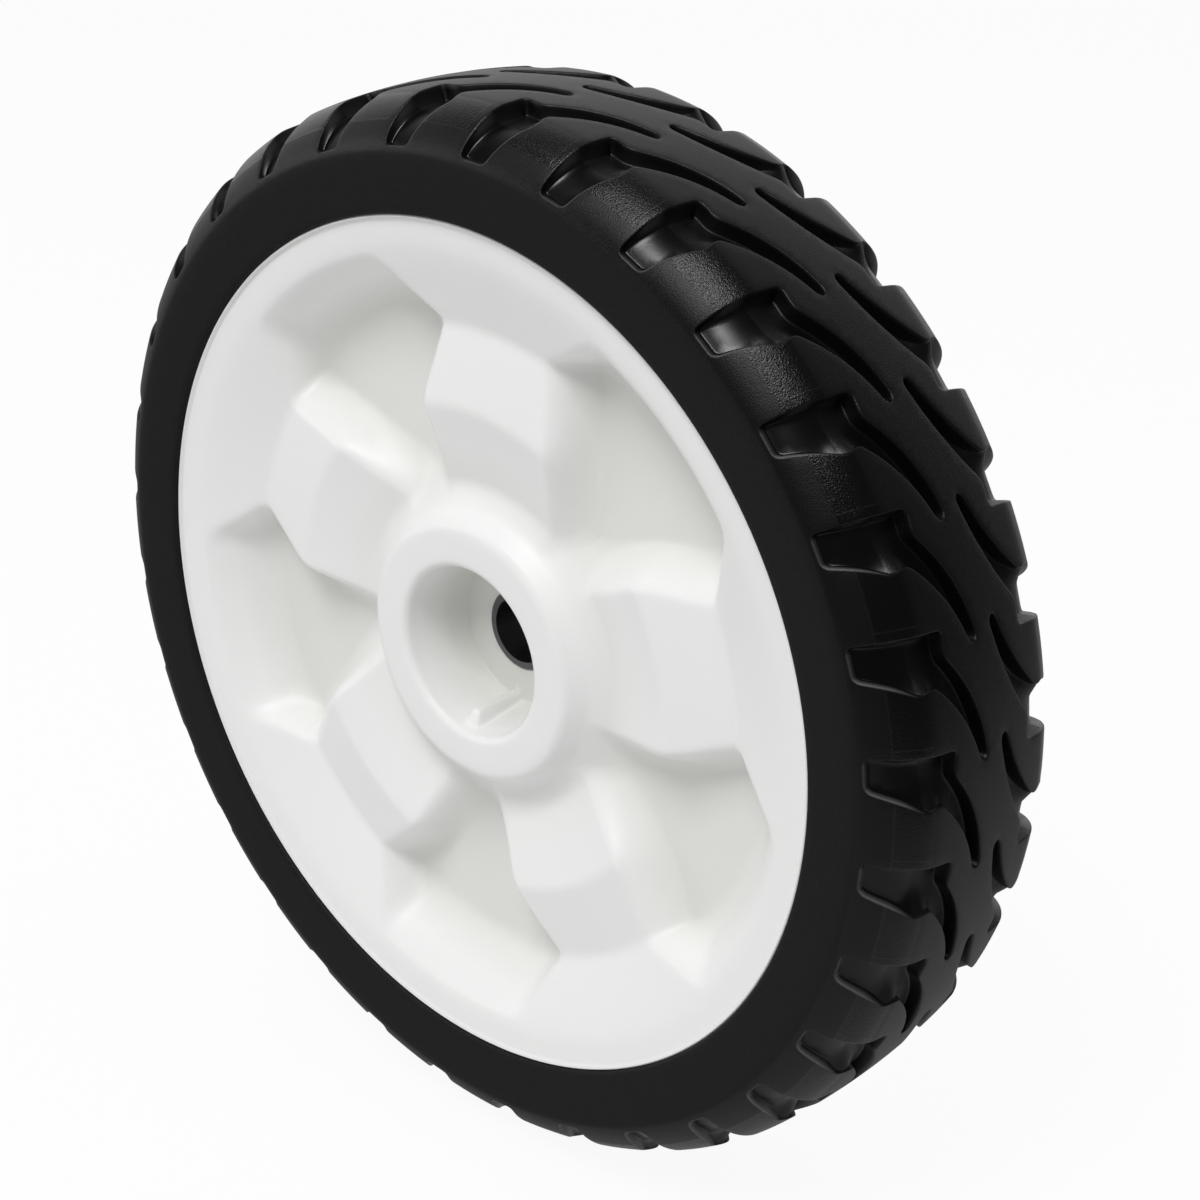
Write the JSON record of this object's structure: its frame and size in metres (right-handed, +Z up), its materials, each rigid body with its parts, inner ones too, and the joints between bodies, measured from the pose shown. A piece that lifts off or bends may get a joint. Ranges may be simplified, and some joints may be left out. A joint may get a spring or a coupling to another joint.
{
  "type": "lawn mower wheel",
  "caption": "Lawn mower wheel with a grooved black rubber tyre on a white spoked plastic wheel, and a plain steel bush in its hub for a fixed axle.",
  "frame": {"origin": "middle of the wheel, on the axle line and on the middle plane of the tyre", "axes": "+Z up with the wheel upright as it runs, +Y along the axle towards the machine, so the outboard face looks along -Y"},
  "size_m": [0.2032, 0.0444, 0.2032],
  "materials": {
    "tyre": "matte black rubber, finely grained on the lugs",
    "wheel": "satin natural white polyethylene",
    "axle_bush": "plain drawn steel"
  },
  "bodies": {
    "root": {"tyre": "tyre", "wheel": "wheel", "axle_bush": "axle_bush"}
  },
  "joints": []
}
